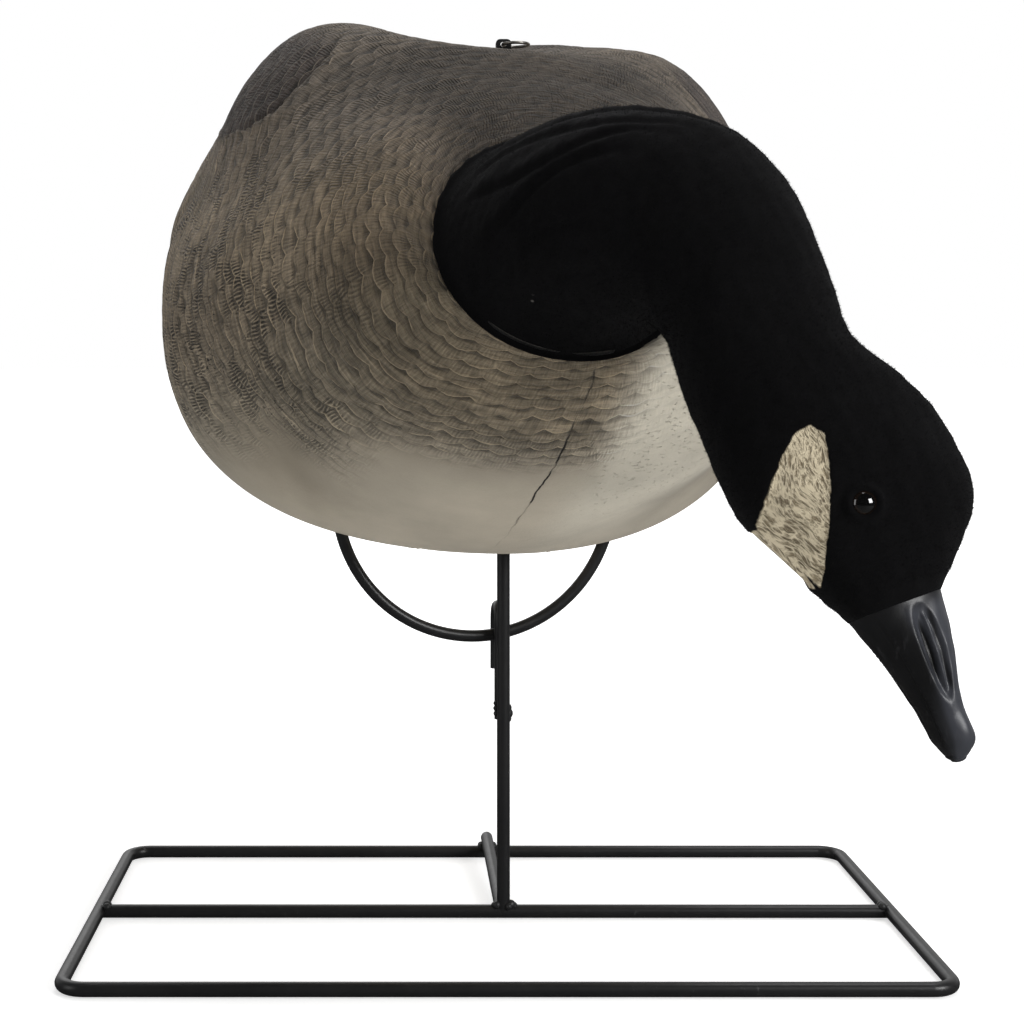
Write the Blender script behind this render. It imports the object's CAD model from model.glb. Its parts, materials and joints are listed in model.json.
import json
import math

import bpy
import numpy as np
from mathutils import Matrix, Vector


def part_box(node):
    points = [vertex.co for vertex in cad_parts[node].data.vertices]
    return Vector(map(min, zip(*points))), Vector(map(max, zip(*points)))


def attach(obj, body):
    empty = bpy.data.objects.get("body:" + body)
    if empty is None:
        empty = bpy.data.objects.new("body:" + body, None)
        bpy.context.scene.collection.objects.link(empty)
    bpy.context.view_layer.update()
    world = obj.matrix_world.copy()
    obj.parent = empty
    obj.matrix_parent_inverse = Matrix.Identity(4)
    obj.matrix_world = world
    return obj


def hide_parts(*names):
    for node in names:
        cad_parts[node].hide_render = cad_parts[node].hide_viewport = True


# Feeding Canada goose decoy on a wire motion stand: the looks.
# Lengths in this script are millimetres until a mesh is made, then metres.

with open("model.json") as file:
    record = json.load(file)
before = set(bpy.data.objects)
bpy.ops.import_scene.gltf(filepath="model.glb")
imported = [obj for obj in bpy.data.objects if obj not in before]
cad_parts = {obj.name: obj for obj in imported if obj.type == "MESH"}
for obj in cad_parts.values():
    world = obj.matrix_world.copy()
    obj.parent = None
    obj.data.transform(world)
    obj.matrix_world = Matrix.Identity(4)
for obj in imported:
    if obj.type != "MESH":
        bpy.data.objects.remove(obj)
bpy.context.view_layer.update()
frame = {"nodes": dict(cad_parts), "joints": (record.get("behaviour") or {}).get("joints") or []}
RNG = np.random.default_rng(20)


def mid_mm(node):
    lo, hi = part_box(node)
    return np.array((lo + hi) / 2) * 1000.0


JOINTS = {j["name"]: j for j in frame["joints"]}


def unit(v):
    v = np.asarray(v, float)
    return v / np.linalg.norm(v)


def axis_of(name, fallback):
    j = JOINTS.get(name) or {}
    return unit(j.get("axis", fallback))


PIVOT = mid_mm("pivot_ball")
PZ = PIVOT[2]
FWD = axis_of("body_rock", (0.190809, -0.981627, 0.0))
RING_N = axis_of("neck_pull_off", (0.187982, -0.809007, 0.556929))
ROLL = math.radians(3.1)
_Z = np.array([0.0, 0.0, 1.0])
_L0 = np.cross(_Z, FWD)
LEFT = unit(_L0) * math.cos(ROLL) - _Z * math.sin(ROLL)
UPV = _Z * math.cos(ROLL) + unit(_L0) * math.sin(ROLL)

STATIONS = np.array([
    (-330.0, 404.0, 0.0, 4.0, 5.0, 44.0, 2.2, 2.2, 0.0, 0.0),
    (-296.0, 401.0, 0.0, 13.0, 15.0, 57.0, 2.2, 2.1, 0.0, 0.0),
    (-245.0, 389.6, 0.0, 49.7, 57.1, 88.3, 2.2, 2.1, 0.03, 0.0),
    (-180.0, 367.8, 0.0, 85.5, 92.1, 124.4, 2.18, 2.09, 0.061, 0.25),
    (-110.0, 337.7, 0.0, 114.2, 117.1, 148.8, 2.13, 2.18, 0.088, 0.3),
    (-40.0, 308.1, 2.0, 128.8, 127.1, 157.2, 2.33, 2.7, 0.105, -0.9),
    (25.0, 302.8, 8.0, 128.3, 118.3, 147.3, 2.24, 1.89, 0.089, -2.9),
    (80.0, 311.5, 18.0, 110.8, 98.5, 126.6, 1.84, 2.16, 0.03, -2.5),
    (124.0, 321.7, 30.6, 88.0, 78.9, 102.1, 2.05, 2.05, 0.0, -2.0),
    (150.0, 324.3, 36.3, 68.2, 62.8, 75.3, 2.0, 2.0, 0.0, -5.7),
    (164.8, 314.2, 33.9, 55.8, 50.4, 47.1, 1.94, 2.14, 0.0, -16.3),
])
WING = (33.09, 15.79, 1.03, 22.92, 0.76, 71.97, 14.23)
NECK = [
    ((41.0, -214.0, 286.3), (49.9, -212.0, 364.4), 43.1),
    ((40.4, -230.0, 285.2), (76.6, -226.0, 350.2), 37.1),
    ((41.1, -243.0, 283.4), (92.9, -238.0, 322.9), 32.6),
    ((42.1, -253.0, 281.0), (99.6, -247.0, 293.7), 29.8),
    ((44.1, -262.0, 270.6), (102.0, -255.0, 278.6), 27.0),
    ((48.8, -270.0, 252.7), (110.3, -262.0, 270.2), 25.4),
    ((52.8, -279.0, 239.3), (124.1, -268.0, 258.0), 25.4),
    ((59.4, -288.0, 223.4), (132.3, -276.0, 242.5), 25.7),
    ((68.6, -295.0, 213.7), (136.1, -282.0, 226.9), 23.3),
    ((77.9, -299.0, 204.1), (132.6, -287.0, 217.0), 19.7),
    ((85.3, -302.0, 196.6), (126.8, -291.0, 206.4), 15.5),
    ((92.2, -304.0, 190.1), (121.9, -294.0, 198.4), 12.3),
]
BILL = [
    ((103.1, -306.5, 176.8), (124.1, -299.0, 181.9), 10.6),
    ((109.5, -307.5, 167.8), (124.4, -302.0, 170.6), 9.4),
    ((114.7, -308.0, 159.1), (126.5, -304.5, 160.6), 8.8),
    ((118.5, -308.0, 151.5), (128.6, -306.0, 152.3), 8.0),
    ((121.3, -308.0, 148.1), (126.3, -307.0, 148.5), 4.5),
]
WALL = 3.0
SLOT_L, SLOT_W = 70.4, 17.4      # outside of the belly slot liner
GROMMET_R = 9.0
A_SCALLOP = 0.34
K_W0, K_W1 = 5.6, 0.017          # feather row depth: mm at the neck, growth


# ------------------------------------------------------------------- helpers
def sstep(x, a, b):
    """0 at a, 1 at b, smooth."""
    t = np.clip((np.asarray(x, float) - a) / (b - a), 0, 1)
    return t * t * (3 - 2 * t)


def wave_noise(p, scale, seed, n=7):
    """Smooth noise in about -1..1 from random plane waves; scale in mm."""
    r = np.random.default_rng(seed)
    out = np.zeros(p.shape[:-1])
    for i in range(n):
        d = r.normal(size=3)
        d /= np.linalg.norm(d)
        f = 2 * math.pi / scale * r.uniform(0.6, 1.5)
        out += np.sin(p @ d * f + r.uniform(0, 6.28))
    return out / math.sqrt(n) * 0.8


def spline(xk, y, xq):
    """Natural cubic spline through (xk, y), any knot spacing."""
    xk = np.asarray(xk, float)
    y = np.asarray(y, float)
    m = len(xk)
    shape = y.shape[1:]
    y2 = y.reshape(m, -1)
    h = np.diff(xk)
    A = np.zeros((m, m))
    b = np.zeros_like(y2)
    A[0, 0] = A[-1, -1] = 1
    for i in range(1, m - 1):
        A[i, i - 1], A[i, i], A[i, i + 1] = h[i - 1], 2 * (h[i - 1] + h[i]), h[i]
        b[i] = 6 * ((y2[i + 1] - y2[i]) / h[i] - (y2[i] - y2[i - 1]) / h[i - 1])
    M = np.linalg.solve(A, b)
    i = np.clip(np.searchsorted(xk, xq, side="right") - 1, 0, m - 2)
    hh = h[i][:, None]
    u = ((xq - xk[i])[:, None]) / hh
    v = 1 - u
    out = (v * y2[i] + u * y2[i + 1]
           + hh ** 2 / 6 * ((v ** 3 - v) * M[i] + (u ** 3 - u) * M[i + 1]))
    return out.reshape((len(xq),) + shape)


def blur(a, n=1, wrap=True):
    """Small smoothing of a grid; columns wrap round."""
    for _ in range(n):
        up = np.vstack([a[:1], a[:-1]])
        dn = np.vstack([a[1:], a[-1:]])
        a = (up + 2 * a + dn) / 4
        if wrap:
            a = (np.roll(a, 1, 1) + 2 * a + np.roll(a, -1, 1)) / 4
    return a


def grid_normals(P, flip=1.0):
    """Normals of a grid of points whose columns wrap round."""
    du = np.gradient(P, axis=0)
    dv = np.roll(P, -1, 1) - np.roll(P, 1, 1)
    n = np.cross(du, dv) * flip
    return n / np.maximum(np.linalg.norm(n, axis=2, keepdims=True), 1e-9)


def to_world(s, l, z):
    return (PIVOT + FWD * s[..., None] + LEFT * l[..., None]
            + UPV * (z[..., None] - PZ))


def new_mesh(name, verts_mm, faces, attrs=None, colors=None, smooth=True):
    me = bpy.data.meshes.new(name)
    me.from_pydata((np.asarray(verts_mm) / 1000.0).tolist(), [], faces)
    me.validate()
    if smooth:
        me.polygons.foreach_set("use_smooth", np.ones(len(me.polygons), bool))
    for k, v in (attrs or {}).items():
        a = me.attributes.new(k, "FLOAT", "POINT")
        a.data.foreach_set("value", np.asarray(v, np.float32).ravel())
    for k, v in (colors or {}).items():
        a = me.attributes.new(k, "FLOAT_COLOR", "POINT")
        c = np.ones((len(v), 4), np.float32)
        c[:, :3] = v
        a.data.foreach_set("color", c.ravel())
    me.update()
    ob = bpy.data.objects.new(name, me)
    bpy.context.scene.collection.objects.link(ob)
    return ob


# ----------------------------------------------------------- material graphs
class Graph:
    def __init__(self, name):
        self.m = bpy.data.materials.new(name)
        self.m.use_nodes = True
        self.t = self.m.node_tree
        self.t.nodes.clear()
        self.out = self.t.nodes.new("ShaderNodeOutputMaterial")
        self.b = self.t.nodes.new("ShaderNodeBsdfPrincipled")
        self.t.links.new(self.b.outputs[0], self.out.inputs[0])
        self._oc = None

    def put(self, sock, v):
        if isinstance(v, bpy.types.NodeSocket):
            self.t.links.new(v, sock)
        elif v is not None:
            if hasattr(sock.default_value, "__len__"):
                v = list(v) if hasattr(v, "__len__") else [v] * len(sock.default_value)
                if len(v) == 3 and len(sock.default_value) == 4:
                    v = v + [1.0]
            sock.default_value = v

    def set(self, **kw):
        for k, v in kw.items():
            self.put(self.b.inputs[k.replace("_", " ")], v)

    def f(self, op, a, b=None, c=None, clamp=False):
        n = self.t.nodes.new("ShaderNodeMath")
        n.operation = op
        n.use_clamp = clamp
        for i, v in enumerate((a, b, c)):
            if v is not None:
                self.put(n.inputs[i], v)
        return n.outputs[0]

    def add(self, a, b): return self.f("ADD", a, b)
    def sub(self, a, b): return self.f("SUBTRACT", a, b)
    def mul(self, a, b): return self.f("MULTIPLY", a, b)

    def attr(self, name, out="Fac"):
        n = self.t.nodes.new("ShaderNodeAttribute")
        n.attribute_name = name
        return n.outputs[out]

    def coord(self):
        if self._oc is None:
            n = self.t.nodes.new("ShaderNodeTexCoord")
            self._oc = n.outputs["Object"]
        return self._oc

    def stretch(self, sx, sy, sz, vec=None, rot=(0, 0, 0)):
        n = self.t.nodes.new("ShaderNodeMapping")
        self.put(n.inputs["Vector"], vec or self.coord())
        n.inputs["Scale"].default_value = (sx, sy, sz)
        n.inputs["Rotation"].default_value = rot
        return n.outputs[0]

    def noise(self, scale, detail=3.0, rough=0.55, vec=None, dist=0.0):
        n = self.t.nodes.new("ShaderNodeTexNoise")
        self.put(n.inputs["Vector"], vec or self.coord())
        n.inputs["Scale"].default_value = scale
        n.inputs["Detail"].default_value = detail
        n.inputs["Roughness"].default_value = rough
        n.inputs["Distortion"].default_value = dist
        return n.outputs["Fac"]

    def cells(self, scale, vec=None, feature="F1", rand=1.0):
        n = self.t.nodes.new("ShaderNodeTexVoronoi")
        n.feature = feature
        self.put(n.inputs["Vector"], vec or self.coord())
        n.inputs["Scale"].default_value = scale
        n.inputs["Randomness"].default_value = rand
        return n.outputs["Distance"]

    def white(self, x, y):
        c = self.t.nodes.new("ShaderNodeCombineXYZ")
        self.put(c.inputs[0], x)
        self.put(c.inputs[1], y)
        n = self.t.nodes.new("ShaderNodeTexWhiteNoise")
        n.noise_dimensions = "2D"
        self.t.links.new(c.outputs[0], n.inputs["Vector"])
        return n.outputs["Value"]

    def ss(self, x, a, b, lo=0.0, hi=1.0):
        n = self.t.nodes.new("ShaderNodeMapRange")
        n.interpolation_type = "SMOOTHSTEP"
        self.put(n.inputs["Value"], x)
        flip = a > b
        n.inputs["From Min"].default_value = min(a, b)
        n.inputs["From Max"].default_value = max(a, b)
        n.inputs["To Min"].default_value = hi if flip else lo
        n.inputs["To Max"].default_value = lo if flip else hi
        return n.outputs["Result"]

    def mixf(self, t, a, b):
        return self.add(a, self.mul(t, self.sub(b, a)))

    def mix(self, t, a, b, mode="MIX"):
        n = self.t.nodes.new("ShaderNodeMix")
        n.data_type = "RGBA"
        n.blend_type = mode
        n.clamp_factor = True
        self.put(n.inputs[0], t)
        self.put(n.inputs[6], a)
        self.put(n.inputs[7], b)
        return n.outputs[2]

    def bump(self, h, dist, strength=1.0, normal=None):
        n = self.t.nodes.new("ShaderNodeBump")
        n.inputs["Strength"].default_value = strength
        n.inputs["Distance"].default_value = dist
        self.put(n.inputs["Height"], h)
        if normal is not None:
            self.t.links.new(normal, n.inputs["Normal"])
        return n.outputs[0]


def feather_field(g, fr, ph, kmax, kind="body"):
    """Overlapping feathers from a row coordinate fr and a round-the-body
    coordinate ph: tip distance d, cell position x, one random value each."""
    k0 = g.f("FLOOR", fr)

    def cell(k):
        if kind == "body":
            n = g.f("MINIMUM", g.add(32.0, g.mul(k, 1.6)), 72.0)
            n = g.f("MINIMUM", n, g.add(12.0, g.mul(g.sub(kmax, k), 1.6)))
            n = g.f("FLOOR", n)
        else:
            n = 30.0
        r = g.f("FRACT", g.mul(k, 0.618034))
        xt = g.add(g.add(g.mul(ph, n), r), 0.5)
        return xt, g.sub(g.f("FRACT", xt), 0.5)

    k1 = g.add(k0, 1.0)
    xt0, x0 = cell(k0)
    xt1, x1 = cell(k1)
    e0 = g.sub(g.add(k0, 1.0), g.mul(g.mul(x0, x0), 4 * A_SCALLOP))
    e1 = g.sub(g.add(k0, 2.0), g.mul(g.mul(x1, x1), 4 * A_SCALLOP))
    d0, d1 = g.sub(e0, fr), g.sub(e1, fr)
    own = g.f("LESS_THAN", d0, 0.0)
    d = g.mixf(own, d0, d1)
    x = g.mixf(own, x0, x1)
    k = g.add(k0, own)
    cell_id = g.f("FLOOR", g.mixf(own, xt0, xt1))
    return d, x, k, g.white(cell_id, k)


def plumage_material(name, kmax):
    g = Graph(name)
    ph = g.attr("ph")
    warp = g.mul(g.sub(g.noise(30, 2, 0.5), 0.5), 0.9)
    fine = g.mul(g.sub(g.noise(120, 3, 0.6), 0.5), 0.36)
    fr = g.add(g.attr("fr"), g.add(warp, fine))
    d, x, k, rnd = feather_field(g, fr, ph, kmax)
    m_row, m_barb, m_stip = g.attr("m_row"), g.attr("m_barb"), g.attr("m_stip")

    wob = g.noise(60, 3, 0.65)
    edge = g.ss(d, 0.17, 0.0)
    under = g.ss(d, 0.55, 1.08)
    # streaks that run with the rows, and finer ones across them
    def strip_vec(u, v):
        cx = g.t.nodes.new("ShaderNodeCombineXYZ")
        g.put(cx.inputs[0], g.mul(ph, u))
        g.put(cx.inputs[1], g.mul(fr, v))
        return cx.outputs[0]

    def strip(u, v, det):
        return g.noise(1.0, det, 0.6, vec=strip_vec(u, v))
    long_s = strip(30.0, 2.6, 4)
    hair = strip(620.0, 0.8, 2)
    wing = g.attr("m_wing")
    # barbs: fine strokes that fan out towards the feather's edge
    n_f = g.noise(110, 2, 0.5)
    ph_b = g.add(g.mul(x, g.add(46.0, g.mul(d, 12.0))), g.mul(n_f, 13.0))
    barb = g.f("SINE", g.add(ph_b, g.mul(rnd, 6.28)))
    barb_s = g.f("MULTIPLY", g.f("ABSOLUTE", barb), g.f("SIGN", barb))
    patch = g.ss(g.noise(46, 4, 0.66), 0.47, 0.60)
    nicks = g.ss(g.noise(1.0, 2, 0.6, vec=strip_vec(760.0, 1.6)), 0.60, 0.68)
    nicks = g.mul(nicks, g.mul(g.ss(g.noise(38, 3, 0.6), 0.48, 0.60), m_barb))
    span = g.mul(g.ss(d, 0.02, 0.14), g.ss(d, 1.05, 0.7))
    b_amt = g.mul(g.mul(g.mixf(patch, 0.12, 1.0), span), m_barb)
    shaft = g.mul(g.ss(g.f("ABSOLUTE", x), 0.05, 0.0), g.mul(m_row, 0.4))

    grain = g.noise(900, 4, 0.7)
    mott = g.noise(24, 4, 0.6)
    fleck = g.ss(g.cells(420, rand=1.0), 0.16, 0.05)

    col = g.attr("tint", "Color")
    # each feather a little different, darker roots, tan edges, painted mottling
    v = g.add(1.0, g.mul(g.mul(g.sub(rnd, 0.5), 0.26), g.ss(m_row, 0.35, 0.9)))
    v = g.mul(v, g.mixf(g.mul(under, m_row), 1.10, 0.46))
    v = g.mul(v, g.add(1.0, g.mul(g.mul(g.sub(long_s, 0.5), m_row), 2.0)))
    v = g.mul(v, g.add(0.68, g.mul(g.noise(16, 3, 0.6), 0.64)))
    v = g.mul(v, g.add(1.0, g.mul(g.mul(g.sub(hair, 0.5), m_row), 1.25)))
    v = g.mul(v, g.sub(1.0, g.mul(nicks, 0.75)))
    v = g.mul(v, g.add(0.86, g.mul(mott, 0.28)))
    v = g.mul(v, g.add(0.93, g.mul(grain, 0.14)))
    v = g.mul(v, g.add(1.0, g.mul(g.mul(barb_s, b_amt), 0.72)))
    hsv = g.t.nodes.new("ShaderNodeHueSaturation")
    g.put(hsv.inputs["Value"], v)
    g.put(hsv.inputs["Color"], col)
    c1 = hsv.outputs[0]
    tan = g.attr("edge_tint", "Color")
    e_mask = g.f("MAXIMUM", g.mul(g.ss(wob, 0.44, 0.60), g.mul(m_row, 0.80)),
                 g.mul(wing, 0.85))
    e_amt = g.mul(edge, e_mask)
    glint = g.mul(g.ss(long_s, 0.60, 0.74), g.ss(g.noise(27, 3, 0.6), 0.50, 0.62))
    c1 = g.mix(g.mul(glint, g.mul(m_row, 0.85)), c1, tan)
    c2 = g.mix(e_amt, c1, tan)
    c2 = g.mix(g.mul(fleck, g.mul(m_row, 0.25)), c2, (0.045, 0.038, 0.03))
    # stipple on the pale breast
    st = g.ss(g.noise(330, 2, 0.5, vec=g.stretch(1.0, 1.0, 2.6)), 0.60, 0.72)
    c2 = g.mix(g.mul(st, g.mul(m_stip, 0.35)), c2, (0.22, 0.19, 0.14))
    # rubbed dirt on the smooth belly
    smear = g.ss(g.noise(15, 5, 0.68, vec=g.stretch(0.5, 1.0, 2.2)), 0.52, 0.78)
    c2 = g.mix(g.mul(smear, g.mul(g.sub(1.0, m_row), 0.22)), c2, (0.20, 0.175, 0.13))
    # parting line of the two half shells
    wander = g.add(g.mul(g.sub(g.noise(34, 3, 0.6), 0.5), 5.0),
                   g.mul(g.sub(g.noise(170, 3, 0.7), 0.5), 1.6))
    seam = g.f("ABSOLUTE", g.add(g.attr("seam"), wander))
    gap = g.ss(g.noise(75, 2, 0.5), 0.34, 0.58)
    s_amt = g.mul(g.mul(g.ss(g.sub(seam, g.mul(gap, 0.22)), 0.32, 0.02), g.attr("m_seam")), g.mixf(gap, 0.30, 1.0))
    c2 = g.mix(s_amt, c2, (0.018, 0.015, 0.012))

    rough = g.add(0.62, g.mul(g.noise(70, 3, 0.6), 0.16))
    rough = g.sub(rough, g.mul(e_amt, 0.08))
    h = g.mul(g.sub(1.0, g.mul(d, 0.69)), g.mul(m_row, 0.75))
    h = g.add(h, g.mul(g.mul(edge, m_row), 0.22))
    h = g.add(h, g.mul(g.mul(barb_s, b_amt), 0.42))
    h = g.add(h, g.mul(g.mul(g.sub(long_s, 0.5), m_row), 1.1))
    h = g.add(h, g.mul(g.mul(g.sub(hair, 0.5), m_row), 0.45))
    h = g.sub(h, g.mul(nicks, 0.5))
    h = g.add(h, g.mul(shaft, 0.2))
    h = g.sub(h, g.mul(st, g.mul(m_stip, 0.28)))
    h = g.sub(h, g.mul(s_amt, 0.6))
    h = g.add(h, g.mul(g.noise(300, 3, 0.6), 0.10))
    h = g.add(h, g.mul(grain, 0.045))
    nrm = g.bump(h, 0.0021, 1.0)
    g.set(Base_Color=c2, Roughness=rough, Specular_IOR_Level=0.32,
          Normal=nrm, Sheen_Weight=0.05, Sheen_Roughness=0.6)
    return g.m


def flock_material(name):
    """Black flocking on the neck and head, with bare carved cheek patches."""
    g = Graph(name)
    cheek_d = g.add(g.attr("cheek"), g.mul(g.sub(g.noise(260, 3, 0.6), 0.5), 1.5))
    cheek = g.ss(cheek_d, 0.25, -0.25)
    fuzz = g.noise(1500, 4, 0.75)
    tuft = g.noise(190, 4, 0.65)
    lay = g.noise(34, 3, 0.55)
    lint = g.ss(g.cells(95, rand=1.0), 0.085, 0.04)
    lint = g.mul(lint, g.ss(g.noise(40, 2, 0.5), 0.60, 0.68))
    v = g.add(0.70, g.mul(tuft, 0.55))
    v = g.mul(v, g.add(0.7, g.mul(lay, 0.6)))
    v = g.mul(v, g.add(0.75, g.mul(fuzz, 0.5)))
    hs = g.t.nodes.new("ShaderNodeHueSaturation")
    hs.inputs["Color"].default_value = (0.0040, 0.0039, 0.0042, 1)
    g.put(hs.inputs["Value"], v)
    black = g.mix(g.mul(lint, 0.5), hs.outputs[0], (0.16, 0.15, 0.14))
    # carved cheek feathers: long wavy ridges
    cc = g.t.nodes.new("ShaderNodeCombineXYZ")
    g.put(cc.inputs[0], g.mul(g.attr("cfr"), 0.17))
    g.put(cc.inputs[1], g.mul(g.attr("cph"), 0.56))
    ridge = g.noise(1.0, 3, 0.55, vec=cc.outputs[0])
    cross = g.noise(430, 3, 0.6)
    fold_ = g.sub(1.0, g.f("ABSOLUTE", g.mul(g.sub(g.add(ridge, g.mul(g.sub(cross, 0.5), 0.10)), 0.5), 4.2)))
    crest = g.ss(fold_, 0.30, 0.95)
    trough = g.ss(ridge, 0.46, 0.31)
    cv = g.add(0.80, g.mul(g.noise(110, 4, 0.6), 0.40))
    cs = g.t.nodes.new("ShaderNodeHueSaturation")
    g.put(cs.inputs["Color"], g.mix(crest, (0.33, 0.262, 0.160), (0.66, 0.57, 0.40)))
    g.put(cs.inputs["Value"], cv)
    cream = g.mix(g.mul(trough, 0.65), cs.outputs[0], (0.21, 0.162, 0.095))
    col = g.mix(cheek, black, cream)
    hc = g.sub(g.mul(g.ss(fold_, 0.0, 0.98), 2.6), g.mul(trough, 0.9))
    hc = g.add(hc, g.mul(g.noise(700, 3, 0.6), 0.12))
    hf = g.add(g.mul(fuzz, 0.22), g.mul(tuft, 0.40))
    hf = g.add(hf, g.mul(g.noise(90, 3, 0.6, vec=g.stretch(1, 1, 0.4)), 0.4))
    h = g.mixf(cheek, hf, hc)
    nrm = g.bump(h, 0.0010, 0.8)
    g.set(Base_Color=col, Roughness=g.mixf(cheek, 0.95, 0.62), Normal=nrm,
          Specular_IOR_Level=g.mixf(cheek, 0.06, 0.45),
          Sheen_Weight=g.mixf(cheek, 0.028, 0.0), Sheen_Roughness=0.42)
    g.b.inputs["Sheen Tint"].default_value = (0.80, 0.80, 0.84, 1)
    return g.m


def bill_material(name):
    g = Graph(name)
    n1 = g.noise(260, 4, 0.65)
    n2 = g.noise(40, 3, 0.6)
    scr = g.ss(g.noise(380, 3, 0.6, vec=g.stretch(1, 1, 0.18)), 0.60, 0.70)
    c = g.mix(g.ss(n2, 0.35, 0.7), (0.0042, 0.0042, 0.0048), (0.0075, 0.0075, 0.0085))
    c = g.mix(g.attr("upper"), c, g.mix(n2, (0.030, 0.032, 0.040), (0.052, 0.055, 0.066)))
    c = g.mix(g.mul(g.attr("nail"), 0.6), c, (0.034, 0.034, 0.037))
    c = g.mix(g.mul(scr, 0.12), c, (0.09, 0.09, 0.10))
    c = g.mix(g.attr("pit"), c, (0.0025, 0.0025, 0.003))
    h = g.add(g.mul(n1, 0.22), g.mul(g.noise(1300, 3, 0.6), 0.10))
    h = g.sub(h, g.mul(scr, 0.08))
    g.set(Base_Color=c, Roughness=g.add(0.34, g.mul(n1, 0.16)),
          Normal=g.bump(h, 0.0005, 0.6), Specular_IOR_Level=0.42,
          Coat_Weight=0.12, Coat_Roughness=0.22)
    return g.m


def eye_material(name, centre_m, aim):
    """Glass eye: black pupil, dark brown iris, clear gloss."""
    g = Graph(name)
    sub = g.t.nodes.new("ShaderNodeVectorMath")
    sub.operation = "SUBTRACT"
    g.put(sub.inputs[0], g.coord())
    sub.inputs[1].default_value = tuple(centre_m)
    nrmz = g.t.nodes.new("ShaderNodeVectorMath")
    nrmz.operation = "NORMALIZE"
    g.t.links.new(sub.outputs[0], nrmz.inputs[0])
    dot = g.t.nodes.new("ShaderNodeVectorMath")
    dot.operation = "DOT_PRODUCT"
    g.t.links.new(nrmz.outputs[0], dot.inputs[0])
    dot.inputs[1].default_value = tuple(aim)
    ca = dot.outputs["Value"]
    wob = g.mul(g.sub(g.noise(900, 3, 0.7), 0.5), 0.05)
    pupil = g.ss(g.add(ca, wob), 0.80, 0.84)
    iris = g.mix(g.noise(1600, 4, 0.7), (0.005, 0.0035, 0.0025), (0.014, 0.008, 0.005))
    c = g.mix(pupil, iris, (0.002, 0.002, 0.002))
    c = g.mix(g.ss(ca, 0.35, 0.15), c, (0.004, 0.004, 0.004))
    g.set(Base_Color=c, Roughness=g.add(0.04, g.mul(g.noise(300, 2, 0.5), 0.05)),
          Specular_IOR_Level=0.6, Coat_Weight=0.9, Coat_Roughness=0.02,
          Normal=g.bump(g.noise(500, 2, 0.5), 0.0001, 0.12))
    return g.m


def coat_material(name, base, chips, rough=0.36, peel=1.0):
    """Black paint on steel rod: orange peel, scuffs, dust and small chips."""
    g = Graph(name)
    big = g.noise(30, 4, 0.6)
    mid = g.noise(240, 4, 0.65)
    c = g.mix(big, base, tuple(x * 1.9 for x in base))
    scuff = g.ss(g.noise(420, 5, 0.72, vec=g.stretch(1.0, 1.0, 0.35)), 0.62, 0.74)
    scuff = g.mul(scuff, g.ss(g.noise(22, 2, 0.5), 0.48, 0.66))
    c = g.mix(g.mul(scuff, chips), c, (0.13, 0.13, 0.135))
    dust = g.ss(g.noise(75, 5, 0.7), 0.58, 0.85)
    c = g.mix(g.mul(dust, 0.10), c, (0.10, 0.095, 0.09))
    h = g.add(g.mul(g.noise(620, 3, 0.5), 0.30 * peel), g.mul(mid, 0.20))
    h = g.sub(h, g.mul(scuff, 0.3))
    r = g.add(g.add(rough - 0.06, g.mul(mid, 0.14)), g.mul(scuff, 0.2))
    g.set(Base_Color=c, Roughness=r, Specular_IOR_Level=0.5,
          Normal=g.bump(h, 0.00022, 0.8))
    return g.m


def metal_material(name, base, rough, grime):
    g = Graph(name)
    n = g.noise(500, 4, 0.6, vec=g.stretch(1, 1, 0.25))
    spangle = g.cells(330)
    c = g.mix(g.ss(spangle, 0.1, 0.6), base, tuple(x * 0.72 for x in base))
    dirt = g.ss(g.noise(140, 5, 0.7), 0.5, 0.75)
    c = g.mix(g.mul(dirt, grime), c, (0.045, 0.04, 0.034))
    g.set(Base_Color=c, Metallic=g.sub(1.0, g.mul(dirt, grime)),
          Roughness=g.add(rough, g.mul(n, 0.22)),
          Normal=g.bump(g.add(g.mul(n, 0.5), g.mul(dirt, 0.4)), 0.00012, 0.7))
    return g.m


def plastic_material(name, base, rough, grainy=0.4, spec=0.45, sub=0.0):
    """Moulded plastic or rubber with a fine skin texture and handling marks."""
    g = Graph(name)
    a = g.noise(60, 4, 0.6)
    skin = g.noise(1400, 3, 0.6)
    pits = g.ss(g.cells(900), 0.30, 0.08)
    c = g.mix(a, base, tuple(min(1, x * 1.35) for x in base))
    mark = g.ss(g.noise(210, 5, 0.72), 0.58, 0.72)
    c = g.mix(g.mul(mark, 0.18), c, tuple(x * 0.5 + 0.03 for x in base))
    h = g.add(g.mul(skin, 0.5), g.mul(g.noise(230, 3, 0.6), 0.3))
    h = g.sub(h, g.mul(pits, 0.3))
    g.set(Base_Color=c, Roughness=g.add(rough, g.mul(a, 0.15)),
          Specular_IOR_Level=spec, Normal=g.bump(h, 0.00022, grainy),
          Subsurface_Weight=sub)
    return g.m


# ------------------------------------------------------------- the two shells
NU = 300
NVH = 262            # columns of one half, both seams in
NV = 2 * (NVH - 1)


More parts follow.
